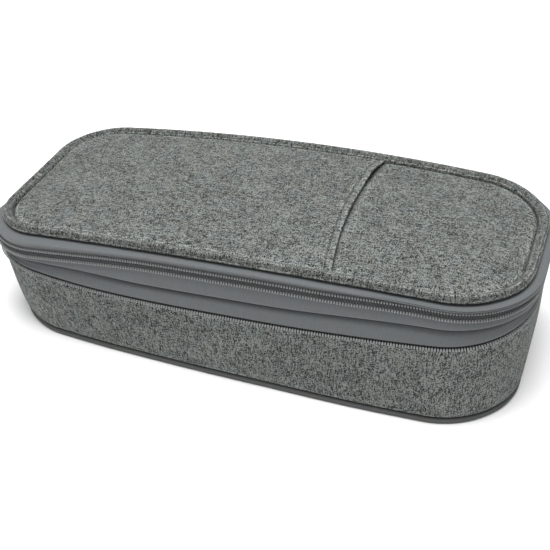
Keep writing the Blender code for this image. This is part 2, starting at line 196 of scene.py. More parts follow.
def make_studio():
    scene = bpy.context.scene
    scene.view_settings.view_transform = "Standard"
    world = bpy.data.worlds.new("studio")
    world.use_nodes = True
    background = world.node_tree.nodes["Background"]
    background.inputs["Color"].default_value = (1.0, 1.0, 1.0, 1.0)
    background.inputs["Strength"].default_value = 0.5
    scene.world = world
    make_light("key_light", (0.0, -0.15, 1.2), 0.7, 20.0)
    make_light("fill_light", (-0.7, -0.9, 0.8), 1.0, 1.5)
    builder = bmesh.new()
    bmesh.ops.create_grid(builder, x_segments=1, y_segments=1, size=3.0)
    mesh = bpy.data.meshes.new("floor")
    builder.to_mesh(mesh)
    builder.free()
    nodes = Nodes("floor_white")
    nodes.shade((0.9, 0.9, 0.9), 0.9)
    mesh.materials.append(nodes.material)
    add_object("floor", mesh)


class Nodes:
    """Short calls that build one material's node tree. Lengths are in millimetres, noise scales per metre."""

    def __init__(self, name):
        self.material = bpy.data.materials.new(name)
        self.material.use_nodes = True
        self.tree = self.material.node_tree
        self.shader = self.tree.nodes["Principled BSDF"]

    def put(self, socket, value):
        if isinstance(value, bpy.types.NodeSocket):
            self.tree.links.new(value, socket)
        elif value is not None:
            socket.default_value = value

    def add(self, kind, values=(), output=0, **settings):
        node = self.tree.nodes.new(kind)
        for key, value in settings.items():
            setattr(node, key, value)
        for key, value in dict(values).items():
            self.put(node.inputs[key], value)
        return node.outputs[output]

    def math(self, operation, *values):
        return self.add("ShaderNodeMath", enumerate(values), operation=operation)

    def vector(self, operation, *values):
        return self.add("ShaderNodeVectorMath", enumerate(values), operation=operation)

    def scaled(self, vector, share):
        return self.vector("SCALE", vector, None, None, share)

    def from_half(self, value, amount):
        """How far the value is from 0.5, times the amount."""
        return self.math("MULTIPLY", self.math("SUBTRACT", value, 0.5), amount)

    def hump(self, value):
        """0 at each whole number and 1 halfway between two."""
        return self.math("SINE", self.math("MULTIPLY", self.math("FRACT", value), math.pi))

    def wave(self, value, length):
        return self.math("SINE", self.math("MULTIPLY", value, 2 * math.pi / (length * MM)))

    def cloth_place(self):
        """Place on the cloth, from the cut's own layout."""
        return self.add("ShaderNodeUVMap", uv_map="cut")

    def solid_place(self):
        """Place in the piece itself."""
        return self.add("ShaderNodeTexCoord", output=3)

    def split(self, vector):
        node = self.tree.nodes.new("ShaderNodeSeparateXYZ")
        self.put(node.inputs[0], vector)
        return node.outputs[0], node.outputs[1]

    def join(self, x, y, z=0.0):
        return self.add("ShaderNodeCombineXYZ", {0: x, 1: y, 2: z})

    def noise(self, vector, scale, detail=2.0, output=0):
        return self.add("ShaderNodeTexNoise", {"Vector": vector, "Scale": scale, "Detail": detail}, output)

    def mix(self, share, a, b):
        """Number between a and b."""
        return self.add("ShaderNodeMix", {0: share, 2: a, 3: b})

    def ramp(self, value, *stops):
        node = self.tree.nodes.new("ShaderNodeValToRGB")
        self.put(node.inputs[0], value)
        ramp = node.color_ramp
        while len(ramp.elements) < len(stops):
            ramp.elements.new(0.5)
        for element, (position, colour) in zip(ramp.elements, stops):
            element.position = position
            element.color = (*colour, 1.0)
        return node.outputs[0]

    def shade(self, colour, roughness, metallic=0.0, sheen=0.0):
        if not isinstance(colour, bpy.types.NodeSocket):
            colour = (*colour, 1.0)
        self.put(self.shader.inputs["Base Color"], colour)
        self.put(self.shader.inputs["Roughness"], roughness)
        self.put(self.shader.inputs["Metallic"], metallic)
        self.put(self.shader.inputs["Sheen Weight"], sheen)

    def bump(self, height, distance):
        node = self.add("ShaderNodeBump", {"Height": height, "Distance": distance * MM, "Strength": 1.0})
        self.put(self.shader.inputs["Normal"], node)


def times(share, colour):
    return tuple(share * part for part in colour)


def grey(level, tint=(1.0, 1.0, 1.0)):
    return times(level, tint)


def woven(name, pitch, dark, light, contrast, slubs, relief, sheen=0.0, roughness=0.95, fleck=0.45,
          painted_crest_highlight=0.0):
    """Plain weave: each crossing shows its warp or its weft yarn, whose shade wanders along its length.

    slubs are the lengths, in yarns, over which the warp's and the weft's shade changes; fleck is how much
    single crossings differ; painted_crest_highlight is how much lighter the cloth is painted on its crests
    and convex edges, a painted highlight, and where it is set the hollows are painted darker, a painted
    shade.
    """
    nodes = Nodes(name)
    place = nodes.cloth_place()
    wobble = nodes.vector("SUBTRACT", nodes.noise(place, 90.0, 1.0, output=1), (0.5, 0.5, 0.5))
    place = nodes.vector("ADD", place, nodes.scaled(wobble, 0.9 * pitch * MM))
    u, v = nodes.split(nodes.scaled(place, 1.0 / (pitch * MM)))
    column, row = nodes.math("FLOOR", u), nodes.math("FLOOR", v)
    warp_place = nodes.join(nodes.math("MULTIPLY", column, 7.31), nodes.math("DIVIDE", v, slubs[0]))
    warp = nodes.noise(warp_place, 1.0)
    weft_place = nodes.join(nodes.math("DIVIDE", u, slubs[1]), nodes.math("MULTIPLY", row, 5.77), 40.0)
    weft = nodes.noise(weft_place, 1.0)
    over = nodes.math("MODULO", nodes.math("ABSOLUTE", nodes.math("ADD", column, row)), 2.0)
    shown = nodes.mix(nodes.mix(over, 0.2, 0.6), warp, weft)
    fibre = nodes.add("ShaderNodeTexWhiteNoise", {"Vector": nodes.join(column, row)}, noise_dimensions="3D")
    patch = nodes.noise(place, 70.0, 3.0)
    shade = nodes.math("ADD", nodes.from_half(shown, 3.0 * contrast), 0.5)
    for part, amount in ((fibre, fleck), (patch, 0.35)):
        shade = nodes.math("ADD", shade, nodes.from_half(part, amount * contrast))
    height = nodes.math("MULTIPLY", nodes.hump(u), nodes.hump(v))
    # Each crossing is painted darker towards the gaps between yarns: painted shade in those small hollows.
    shade = nodes.math("MULTIPLY", shade, nodes.mix(height, 0.75, 1.12))
    colour = nodes.ramp(shade, (0.0, dark), (1.0, light))
    dye = nodes.noise(nodes.vector("ADD", place, (3.0, 1.0, 0.0)), 130.0, 4.0)
    tint = nodes.ramp(dye, (0.35, (1.04, 1.0, 0.95)), (0.65, (0.98, 1.0, 1.0)))
    colour = nodes.vector("MULTIPLY", colour, tint)
    # Painted highlight on the cloth's crests and convex edges, and painted shade in its hollows, both from
    # the mesh's pointiness.
    if painted_crest_highlight:
        painted_crest_light_hollow_shade = nodes.ramp(nodes.add("ShaderNodeNewGeometry", output="Pointiness"),
                          (0.48, grey(0.6)), (0.5, grey(1.0)), (0.52, grey(1.0 + painted_crest_highlight)))
        colour = nodes.vector("MULTIPLY", colour, painted_crest_light_hollow_shade)
    nodes.shade(colour, roughness, sheen=sheen)
    nodes.bump(nodes.math("ADD", height, nodes.math("MULTIPLY", shown, 0.8)), relief)
    return nodes.material


def enamel(name, colour, roughness):
    """Satin enamel over die-cast metal, worn a little brighter on its bumps."""
    nodes = Nodes(name)
    place = nodes.solid_place()
    wear = nodes.noise(place, 420.0, 4.0)
    tone = nodes.ramp(wear, (0.35, colour), (0.75, times(1.5, colour)))
    nodes.shade(tone, nodes.mix(wear, roughness - 0.08, roughness + 0.12), metallic=0.85)
    nodes.bump(nodes.noise(place, 900.0, 3.0), 0.04)
    return nodes.material


def moulded(name, colour, roughness, grain):
    """Matt plastic, nylon or foam with a fine grain of its own."""
    nodes = Nodes(name)
    speck = nodes.noise(nodes.solid_place(), grain, 3.0)
    nodes.shade(nodes.ramp(speck, (0.3, times(0.8, colour)), (0.7, times(1.2, colour))), roughness)
    nodes.bump(speck, 0.06)
    return nodes.material


def ribbed(name, colour, pitch):
    """Knitted elastic with ribs along its length."""
    nodes = Nodes(name)
    u, v = nodes.split(nodes.cloth_place())
    rib, knit = nodes.wave(u, pitch), nodes.wave(v, 0.7 * pitch)
    height = nodes.math("ADD", nodes.math("MULTIPLY", rib, 0.4), nodes.math("MULTIPLY", knit, 0.2))
    # The ribs' tops are painted lighter and the hollows between them darker: painted highlight and painted
    # shade.
    tone = nodes.ramp(nodes.math("ADD", height, 0.5), (0.0, times(0.6, colour)), (1.0, times(1.5, colour)))
    nodes.shade(tone, 0.85, sheen=0.1)
    nodes.bump(height, 0.2)
    return nodes.material


def make_materials():
    cool = (0.96, 1.0, 1.0)
    blue_green = (0.905, 0.99, 1.045)
    black = grey(0.004, (0.95, 1, 0.98))
    heather = dict(pitch=0.31, dark=black, contrast=2.1, slubs=(10.0, 7.0), relief=0.07, sheen=0.03,
                   fleck=0.75)
    plain = dict(contrast=0.4, slubs=(9.0, 5.0))
    return {
        "heather": woven("heather_weave", light=grey(0.222, (0.91, 1, 0.97)), painted_crest_highlight=0.45, **heather),
        # The rim's welt is the heather cloth painted darker, a painted shade for its steep face, with a
        # stronger painted crest highlight.
        "welt": woven("welt_weave_painted_shade", light=grey(0.16, (0.93, 1, 0.965)), painted_crest_highlight=0.9, **heather),
        "tape": woven("zip_tape", 0.3, grey(0.076, blue_green), grey(0.13, blue_green), relief=0.03,
                      sheen=0.15, roughness=0.75, **plain),
        "piping": woven("piping_tape", 0.3, grey(0.06, cool), grey(0.115, cool), relief=0.04, **plain),
        "lining": woven("lining_weave", 0.4, grey(0.03, cool), grey(0.075, cool), relief=0.04,
                        sheen=0.1, roughness=0.7, contrast=0.4, slubs=(9.0, 6.0)),
        "coil": moulded("coil_nylon_satin", grey(0.24, cool), 0.5, 2500.0),
        # Near-black nylon for the teeth's parts inside the zip's groove: painted shade there.
        "coil_core": moulded("coil_nylon_painted_shade", grey(0.045, cool), 0.6, 2500.0),
        "foam": moulded("foam_cells", (0.5, 0.5, 0.48), 0.95, 1400.0),
        "board": moulded("board_sheet", (0.28, 0.28, 0.27), 0.6, 700.0),
        "elastic": ribbed("elastic_rib", (0.02, 0.02, 0.024), 1.1),
        "mesh": moulded("mesh_yarn", (0.035, 0.038, 0.042), 0.7, 3000.0),
        "thread": moulded("sewing_thread", grey(0.12, cool), 0.6, 5000.0),
        "metal": enamel("slider_enamel", grey(0.09, cool), 0.38),
    }


def straight(start, end):
    return lambda share: np.stack([start[i] + (end[i] - start[i]) * share for i in (0, 1)], axis=-1)


def quarter(centre, radius, start_degrees):
    def place(share):
        turn = np.radians(start_degrees + 90.0 * share)
        return np.stack([centre[0] + radius * np.cos(turn), centre[1] + radius * np.sin(turn)], axis=-1)
    return place


def stretches(shape):
    """The nine stretches of a rounded rectangle, counter-clockwise from the right end's middle."""
    half_x, half_y, left_radius, right_radius, _ = shape
    corners = [(1, 1, right_radius), (-1, 1, left_radius), (-1, -1, left_radius), (1, -1, right_radius)]
    middle = (half_x, 0.0)
    result, last = [], middle
    for index, (x, y, radius) in enumerate(corners):
        arc = quarter((x * (half_x - radius), y * (half_y - radius)), radius, 90 * index)
        result += [straight(last, arc(0)), arc]
        last = arc(1)
    return result + [straight(last, middle)]


def plain_places(shape, t):
    """Places on the outline without its bow; t counts the stretches."""
    places = np.zeros((len(t), 2))
    for index, stretch in enumerate(stretches(shape)):
        here = np.clip(np.floor(t), 0, 8) == index
        places[here] = stretch(t[here] - index)
    return places


def bowed_places(shape, t):
    places = plain_places(shape, t)
    bow = 1 + shape[4] / shape[1] * (1 - (places[:, 0] / shape[0]) ** 2)
    return np.stack([places[:, 0], places[:, 1] * bow], axis=-1)


def unit(vectors):
    return vectors / np.linalg.norm(vectors, axis=-1, keepdims=True)


def lengths(points, axis=0):
    """Distance travelled at each of the points."""
    steps = np.linalg.norm(np.diff(points, axis=axis), axis=-1)
    start = np.zeros_like(np.take(steps, [0], axis=axis))
    return np.concatenate([start, np.cumsum(steps, axis=axis)], axis=axis)


def on_line(line, travelled, places):
    """Points of the line at distances along it."""
    return np.stack([np.interp(places, travelled, part) for part in line.T], axis=-1)


class Ring:
    """Places on an outline, with outward normals and distances along it from the front's middle."""

    STEP = 1e-4
    LAST = 9.0 - 1e-9

    def __init__(self, shape, t):
        self.place = bowed_places(shape, t)
        ahead = bowed_places(shape, np.minimum(t + self.STEP, self.LAST))
        behind = bowed_places(shape, np.maximum(t - self.STEP, 0.0))
        along = unit(ahead - behind)
        self.normal = np.stack([along[:, 1], -along[:, 0]], axis=-1)
        self.x, self.y = self.place[:, 0], self.place[:, 1]
        self.run = run_of(t)

    def at(self, out, z):
        out = np.broadcast_to(np.asarray(out, float), self.x.shape)
        z = np.broadcast_to(np.asarray(z, float), self.x.shape)
        return np.column_stack([self.place + self.normal * out[:, None], z])


FINE_T = np.linspace(0.0, Ring.LAST, 18001)
FINE_LENGTH = lengths(plain_places(ZIP_SHAPE, FINE_T))
FULL_LENGTH = FINE_LENGTH[-1]
FRONT_LENGTH = float(np.interp(6.5, FINE_T, FINE_LENGTH)) + (ZIP_SHAPE[3] - ZIP_SHAPE[2]) / 2
ZIP_START = float(np.interp(4.0, FINE_T, FINE_LENGTH)) - FRONT_LENGTH - math.pi / 2 * ZIP_SHAPE[2]
ZIP_END = float(FULL_LENGTH + np.interp(2.0, FINE_T, FINE_LENGTH)) - FRONT_LENGTH


def run_of(t):
    """Distance along the plain outline from the front's middle, positive towards the right end."""
    run = np.interp(t, FINE_T, FINE_LENGTH) - FRONT_LENGTH
    return np.where(run < -FULL_LENGTH / 2, run + FULL_LENGTH, run)


def t_of_run(run):
    length = np.mod(np.asarray(run) + FRONT_LENGTH, FULL_LENGTH)
    return np.interp(length, FINE_LENGTH, FINE_T)


def closed_t(spacing=SPACING):
    """Evenly spread places, mirrored front to back, from the right end's middle."""
    half = int(round(FULL_LENGTH / spacing / 2))
    length = np.arange(2 * half) * FULL_LENGTH / (2 * half)
    return np.interp(length, FINE_LENGTH, FINE_T)


def open_t(start, end, spacing=SPACING):
    """Evenly spread places from one run to another, both counter-clockwise."""
    count = max(2, int(round((end - start) / spacing)) + 1)
    return t_of_run(np.linspace(start, end, count))


def zipped_t(spacing=SPACING):
    """From the left back corner round the left end, the front and the right end to the right back."""
    return open_t(ZIP_START, ZIP_END, spacing)


def smooth(value):
    value = np.clip(value, 0.0, 1.0)
    return value * value * (3 - 2 * value)


def bell(value, width):
    return np.exp(-((value / width) ** 2))


def eased(value, knots):
    """Smooth steps between the knots' levels."""
    result = np.full(np.shape(value), knots[0][1], float)
    for (start, low), (end, high) in zip(knots, knots[1:]):
        result += (high - low) * smooth((value - start) / (end - start))
    return result


def ripple(u, v, size, seed):
    """Gentle unevenness from a few crossed waves; at most about 1 either way."""
    draw = np.random.default_rng(seed)
    total = 0.0
    for _ in range(7):
        turn, phase, scale = draw.uniform(0, math.pi), draw.uniform(0, 2 * math.pi), draw.uniform(0.6, 1.8)
        wave = (u * math.cos(turn) + v * math.sin(turn)) * 2 * math.pi / (size * scale)
        total = total + np.sin(wave + phase)
    return total / 4.0


def lid_level(x):
    return LID_HEIGHT + LID_CROWN * (1 - (x / HALF_LENGTH) ** 2) + LID_SLOPE * x


def rim_level(x):
    return lid_level(x) - RIM_DROP


def upper_zip_level(x):
    return rim_level(x) - TAPE_DROP


def leaf_level(x):
    return LEAF_HEIGHT + LEAF_SLOPE * x


def lower_zip_level(ring):
    reach = np.where(ring.run > 0, DIP_REACH_RIGHT, DIP_REACH_LEFT)
    closing = np.minimum(1.0, np.abs(ring.run) / reach) ** DIP_POWER
    dip = ZIP_DIP_MIN + (ZIP_DIP_MAX - ZIP_DIP_MIN) * (1 - closing)
    dip = dip + LEFT_END_EXTRA * smooth((-ring.x - LEFT_END_START) / (HALF_LENGTH - LEFT_END_START))
    return leaf_level(ring.x) - dip


def between_zips(wanted, lower, upper, lower_gap, upper_gap):
    """The wanted height, kept clear of both zips."""
    lowest, highest = lower + ZIP_HALF + lower_gap, upper - ZIP_HALF - upper_gap
    return np.minimum(highest, np.maximum(lowest, wanted))


def upper_line(ring):
    """Height of the upper zip as the cloth shows it."""
    return upper_zip_level(ring.x) + eased(ring.run, UPPER_LIFT)


def lower_line(ring):
    return lower_zip_level(ring) + eased(ring.run, LOWER_LIFT)


def seam_line(ring):
    """Height of the fold between the leaf's two bands."""
    plain = between_zips(leaf_level(ring.x) + 0.4, lower_zip_level(ring), upper_zip_level(ring.x), 1.0, 1.0)
    return between_zips(plain + eased(ring.run, SEAM_LIFT), lower_line(ring), upper_line(ring), 0.6, 0.9)


def swell(ring):
    return eased(ring.run, SWELL)


def hang(ring):
    return eased(ring.run, HANG)


def stack(points, count):
    """(out, height) pairs, each a number or one number per place, as an array."""
    return np.array([[np.broadcast_to(value, (count,)) for value in point] for point in points], float)


def rounded(profile, steps=4):
    """The profile with a smooth curve through its points."""
    before = np.concatenate([2 * profile[:1] - profile[1:2], profile[:-1]])
    after = np.concatenate([profile[1:], 2 * profile[-1:] - profile[-2:-1]])
    slope = (after - before)[:, None] / 2
    point = profile[:, None]
    s = (np.arange(steps) / steps)[:, None, None]
    curve = (point[:-1] * (2 * s**3 - 3 * s**2 + 1) + slope[:-1] * (s**3 - 2 * s**2 + s)
             + point[1:] * (3 * s**2 - 2 * s**3) + slope[1:] * (s**3 - s**2))
    return np.concatenate([curve.reshape(-1, *profile.shape[1:]), profile[-1:]])


def cloth(face, thickness):
    """Closed profile of a cloth whose outer face, from its top down, follows the points."""
    along = np.gradient(face, axis=0)
    along /= np.maximum(np.linalg.norm(along, axis=1, keepdims=True), 1e-6)
    outward = np.stack([-along[:, 1], along[:, 0]], axis=1)
    back = face - outward * thickness
    start = (face[0] + back[0]) / 2 - along[0] * thickness * 0.4
    end = (face[-1] + back[-1]) / 2 + along[-1] * thickness * 0.4
    return np.concatenate([face, [end], back[::-1], [start]])


def finished_mesh(name, builder, materials, sharp):
    """Object from a builder in metres, with its faces pointing out."""
    bmesh.ops.recalc_face_normals(builder, faces=builder.faces)
    mesh = bpy.data.meshes.new(name)
    builder.to_mesh(mesh)
    builder.free()
    for look in materials:
        mesh.materials.append(LOOKS[look])
    mesh.shade_smooth()
    mesh.set_sharp_from_angle(angle=math.radians(sharp))
    return add_object(name, mesh)


def piece_from(name, vertices, faces, layout, *looks, weld=False):
    """Object from points in millimetres, with a layout of its cut for the weave."""
    mesh = bpy.data.meshes.new("plan")
    mesh.from_pydata((np.asarray(vertices) * MM).tolist(), [], faces)
    layer = mesh.uv_layers.new(name="cut")
    layer.data.foreach_set("uv", (np.asarray(layout) * MM).astype(np.float32).ravel())
    builder = bmesh.new()
    builder.from_mesh(mesh)
    bpy.data.meshes.remove(mesh)
    if weld:
        bmesh.ops.remove_doubles(builder, verts=builder.verts, dist=1e-6)
    return finished_mesh(name, builder, looks, 50)


def loft(name, rows, closed, look):
    """Skin over closed profiles; rows holds them as (places, profile points, 3)."""
    count, points = rows.shape[:2]
    wrapped = np.concatenate([rows, rows[:1]]) if closed else rows
    along = lengths(wrapped).mean(axis=1)
    around = lengths(np.concatenate([wrapped, wrapped[:, :1]], axis=1), 1)
    i, k = np.mgrid[:len(wrapped) - 1, :points]
    corners = [(i, k), (i, k + 1), (i + 1, k + 1), (i + 1, k)]
    faces = np.stack([a % count * points + b % points for a, b in corners], axis=-1).reshape(-1, 4).tolist()
    cut = np.stack([np.stack([along[a], around[a, b]], axis=-1) for a, b in corners], axis=2)
    layout = [cut.reshape(-1, 2)]
    if not closed:
        for end in (0, count - 1):
            faces.append([end * points + k for k in range(points)])
            layout.append(np.column_stack([np.full(points, along[end]), around[end, :points]]))
    return piece_from(name, rows.reshape(-1, 3), faces, np.concatenate(layout), look)


def rows_on(ring, profile):
    """Profiles of (out, height) pairs set up along a ring."""
    return np.stack([ring.at(point[0], point[1]) for point in profile], axis=1)


def sheet_loft(name, ring, face, thickness, closed, look):
    profile = cloth(rounded(stack(face, len(ring.x))), thickness)
    return loft(name, rows_on(ring, profile), closed, look)


def finish_piece(piece, body, replaced=None):
    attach(piece, body)
    if replaced:
        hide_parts(replaced)
    return piece


def wall_loft(name, face_points, thickness, look):
    """Wall ring between the base's and the zip's outlines.

    Each face point is (out, share of the height, or distance below the zip if negative).
    """
    t = closed_t()
    zip_ring, base_ring = Ring(ZIP_SHAPE, t), Ring(BASE_SHAPE, t)
    top = lower_line(zip_ring)
    tall = top - WALL_FOOT
    profile = stack([(out, tall + rise if rise < 0 else tall * rise) for out, rise in face_points], len(t))
    uneven = ripple(zip_ring.run, 0.0, 60, 3) * 0.25
    flare = 1.3 * hang(zip_ring)
    columns = []
    for out, height in cloth(rounded(profile), thickness):
        share = height / tall
        inside = np.clip(share, 0, 1)
        out = out + uneven * np.sin(inside * math.pi) + flare * inside**3
        low = base_ring.at(out - eased(zip_ring.run, FOOT_IN), WALL_FOOT)
        columns.append(low + (zip_ring.at(out, top) - low) * share[:, None])
    return loft(name, np.stack(columns, axis=1), True, look)


def make_body():
    shell = wall_loft("body_shell", [
        (-0.2, -2.25), (0.5, -2.75), (0.9, -4.4), (1.2, 0.66), (1.3, 0.45), (1.1, 0.25), (0.6, 0.10),
        (-0.1, 0.03), (-1.4, 0.0),
    ], 1.2, "heather")
    finish_piece(shell, "base", "body_wall")
    foam = wall_loft("wall_foam", [(-1.3, -8.0), (-1.1, 0.6), (-1.1, 0.4), (-1.4, 0.05)], 1.2, "foam")
    finish_piece(foam, "base", "body_foam")
    lining = wall_loft("wall_lining", [
        (-1.25, -1.9), (-2.0, -2.0), (-2.75, -2.8), (-2.85, 0.6), (-2.85, 0.3), (-3.0, 0.0),
    ], 0.5, "lining")
    finish_piece(lining, "base", "body_lining")


def make_bottom():
    ring = Ring(BASE_SHAPE, closed_t())
    turns = np.linspace(0, 2 * math.pi, 15)[:-1]
    radius = 1.15 * (1 + 0.03 * ripple(ring.run, 0.0, 9, 11))
    drawn_in = 1.1 + eased(ring.run, FOOT_IN)
    profile = stack([
        (radius * math.cos(a) - drawn_in, 1.25 + 1.1 * radius * math.sin(a)) for a in turns
    ], len(ring.x))
    piping = loft("bottom_piping_roll", rows_on(ring, profile), True, "piping")
    finish_piece(piping, "base", "bottom_piping")
    # Name, CAD node, look, slot, distance in from the outline, heights of the two faces, unevenness.
    layers = [
        ("bottom_cover", "bottom_panel", "heather", "heather_fabric", 2.6, 0.15, 1.2, 0.1),
        ("floor_cloth", "floor_lining", "lining", "lining_fabric", 3.4, 3.0, 3.7, 0.1),
        ("bottom_stiffener", "bottom_board", "board", "board_plastic", 4.4, 1.6, 2.6, 0.0),
    ]
    for name, node, look, slot, inset, low, high, wavy in layers:
        def top(x, y, edge, high=high, wavy=wavy):
            return high + wavy * ripple(x, y, 45, 5) * smooth(edge / 8)

        def bottom(x, y, edge, low=low):
            return low + 0 * x
        piece = panel(name, ring, inset + eased(ring.x, PANEL_IN), top, bottom, True, look)
        finish_piece(piece, "base", node)


def panel_grid(ring, inset, rings):
    """Rings from the seam to the panel's middle line, and each point's distance from the seam."""
    edge = ring.at(-np.asarray(inset), 0)[:, :2]
    reach = HALF_LENGTH - 46
    middle = np.column_stack([np.clip(edge[:, 0], -reach, reach), np.zeros(len(edge))])
    grid = edge[None] + (middle - edge)[None] * np.asarray(rings)[:, None, None]
    return grid, np.linalg.norm(grid - edge[None], axis=-1)


def panel(name, ring, inset, top, bottom, closed, look, warp=None, rings=PANEL_RINGS):
    """Sheet that fills an outline; top is a height by x, y and distance from the seam.

    bottom is another such height, or the sheet's thickness.
    """
    grid, edge = panel_grid(ring, inset, rings)
    if warp is not None:
        grid = warp(grid)
    x, y = grid[..., 0], grid[..., 1]
    upper = top(x, y, edge)
    lower = bottom(x, y, edge) if callable(bottom) else upper - bottom
    depth, count = grid.shape[:2]
    vertices = np.concatenate([np.dstack([x, y, z]).reshape(-1, 3) for z in (upper, lower)])
    under = depth * count
    faces = []
    for k in range(count if closed else count - 1):
        m = (k + 1) % count
        faces.append((k, m, under + m, under + k))
        for a in range(0, under - count, count):
            b = a + count
            faces.append((a + k, a + m, b + m, b + k))
            faces.append((under + a + k, under + b + k, under + b + m, under + a + m))
    if not closed:
        for k in (0, count - 1):
            for a in range(k, under - count, count):
                faces.append((a, a + count, under + a + count, under + a))
    layout = vertices[np.array(faces).ravel(), 1::-1]
    return piece_from(name, vertices, faces, layout, look, weld=True)


def between(first, second):
    """Faces between two closed loops of corners."""
    return zip(first, first[1:] + first[:1], second[1:] + second[:1], second)


def bar_faces(sections, sides):
    """Faces of a small bar: its sides, section by section, and then its two ends."""
    rims = [list(range(start, start + sides)) for start in range(0, sections * sides, sides)]
    faces = [face for pair in zip(rims, rims[1:]) for face in between(*pair)]
    return faces + [rims[0][::-1], rims[-1]]


def many(name, copies, faces, *looks):
    """One piece from copies of a small solid; copies is an array of (copy, point, 3)."""
    size = copies.shape[1]
    every = [[start + i for i in face] for start in range(0, len(copies) * size, size) for face in faces]
    layout = np.zeros((sum(len(face) for face in every), 2))
    return piece_from(name, copies.reshape(-1, 3), every, layout, *looks)


def teeth_profile(side, depth):
    """(height, out, width) of a tooth's spine, from its root on the tape to its tip past the middle."""
    return [
        (side * 2.3, -0.3, 1.0), (side * 2.15, 0.35, 1.0), (side * 1.75, 0.55, 1.0),
        (side * 1.4, 0.3 - depth, 1.0), (side * 1.2, -0.4 - depth, 1.0), (side * 0.8, -0.8 - depth, 0.85),
        (side * -0.35, -0.9 - depth, 0.8),
    ]


def make_teeth(name, level, out, side, body, node, depth):
    """One row of nylon teeth, each a small arched bar, along the zip's line."""
    dense = Ring(ZIP_SHAPE, zipped_t(0.4))
    line = dense.at(out(dense), level(dense))
    travelled = lengths(line)
    count = int(travelled[-1] / TOOTH_PITCH)
    places = (np.arange(count) + 0.5 + 0.25 * side) * TOOTH_PITCH
    centre = on_line(line, travelled, places)
    tangent = unit(on_line(line, travelled, places + 0.4) - on_line(line, travelled, places - 0.4))
    outward = unit(np.cross(tangent, (0.0, 0.0, 1.0)))
    upward = np.cross(outward, tangent)
    spine = teeth_profile(side, depth)
    template = []
    for height, rise, width in spine:
        edge = TOOTH_HALF * width
        template += [(-edge, height, rise - TOOTH_THICK), (-0.6 * edge, height, rise),
                     (0.6 * edge, height, rise), (edge, height, rise - TOOTH_THICK)]
    frames = np.stack([tangent, upward, outward], axis=1)
    teeth = centre[:, None] + np.array(template) @ frames
    piece = many(name, teeth, bar_faces(len(spine), 4), "coil", "coil_core")
    # The sections past the ridge, down in the zip's groove, get the near-black nylon: painted shade in the
    # groove.
    groove_shade_faces = [s >= RIDGE_SECTIONS for s in range(len(spine) - 1) for _ in range(4)] + [False, True]
    piece.data.polygons.foreach_set("material_index", np.tile(groove_shade_faces, count).astype(np.int32))
    finish_piece(piece, body, node)


def upper_out(ring):
    """How far out the upper zip stands from the outline."""
    return 0.45 + swell(ring)


def proud_upper_out(ring):
    """The lid's row, a little prouder where the lid's band swells over it."""
    past_corner = smooth((ring.run + 100) / 25)
    return upper_out(ring) + 0.3 * smooth(swell(ring) / 0.8) * past_corner


def lower_out(ring):
    return 0.2 + 1.6 * hang(ring)


def tucked_out(ring):
    """The lower zip's upper row, which the band above it hides."""
    return lower_out(ring) - 1.3 * hang(ring)


def proud_out(ring):
    """The lower zip's lower row, which stands out past the band."""
    return lower_out(ring) + 0.4 * hang(ring)


def make_zip_rows():
    make_teeth("zip1_upper_teeth", upper_line, proud_upper_out, 1, "lid", "zip1_upper_row", 0.0)
    make_teeth("zip1_lower_teeth", upper_line, upper_out, -1, "leaf", "zip1_lower_row", 0.0)
    make_teeth("zip2_upper_teeth", lower_line, tucked_out, 1, "leaf", "zip2_upper_row", 0.2)
    make_teeth("zip2_lower_teeth", lower_line, proud_out, -1, "base", "zip2_lower_row", 0.0)


def make_band(name, ring, body, node, face):
    band = sheet_loft(name, ring, face, 0.5, False, "tape")
    finish_piece(band, body, node)


def make_bands():
    """The three smooth strips of tape: the lid's, and the leaf's two."""
    ring = Ring(ZIP_SHAPE, zipped_t())
    upper, lower, seam = upper_line(ring), lower_line(ring), seam_line(ring)
    rim = lid_level(ring.x) - 1.75
    out, low_out, over = upper_out(ring), lower_out(ring), hang(ring)
    tall = rim - upper - 2.3
    proud = 0.35 + 0.65 * smooth(swell(ring) / 0.8)
    make_band("lid_band", ring, "lid", "lid_tape", [
        (-2.6, rim - 0.35), (-1.2 + out * 0.3, rim - 0.4), (out * 0.8 + 0.2, rim - tall * 0.06 - 0.35),
        (out + proud, rim - tall * 0.18 - 0.25), (out + proud * 0.7, rim - tall * 0.38 - 0.1),
        (out + proud * 0.1, rim - tall * 0.6), (out - 0.3, rim - tall * 0.82), (out - 0.65, upper + 2.35),
        (out - 0.6, upper + 1.7), (out - 1.05, upper + 0.42),
    ])
    tall = upper - 2.3 - seam
    puff = np.clip(0.2 * tall, 0, 0.8)
    make_band("leaf_upper_band", ring, "leaf", "gusset_upper", [
        (out - 1.05, upper - 0.42), (out - 0.55, upper - 1.7), (out - 0.45, upper - 2.35),
        (out * 0.9 - 0.1, upper - 2.5 - tall * 0.15), (out * 0.8 + puff * 0.7, seam + tall * 0.5),
        (out * 0.65 + puff, seam + tall * 0.22 + 0.25), (out * 0.3 - 0.2, seam + 0.15), (-1.9, seam + 0.3),
    ])
    drop = seam - lower
    belly = low_out + 0.15 * over
    end = lower + 1.6 - 1.8 * over
    make_band("leaf_lower_band", ring, "leaf", "gusset_lower", [
        (-1.9, seam - 0.3), (-0.8, seam - 0.35), (0.1 * over, seam - drop * 0.06 - 0.4),
        (belly * 0.5, seam - drop * 0.3), (belly * 0.78, seam - drop * 0.6), (belly + 0.2, end + 0.7),
        (belly * 0.85, end), (-0.45 + low_out * 0.2, end + 0.3), (low_out * 0.5 - 0.75, lower + 0.6),
    ])


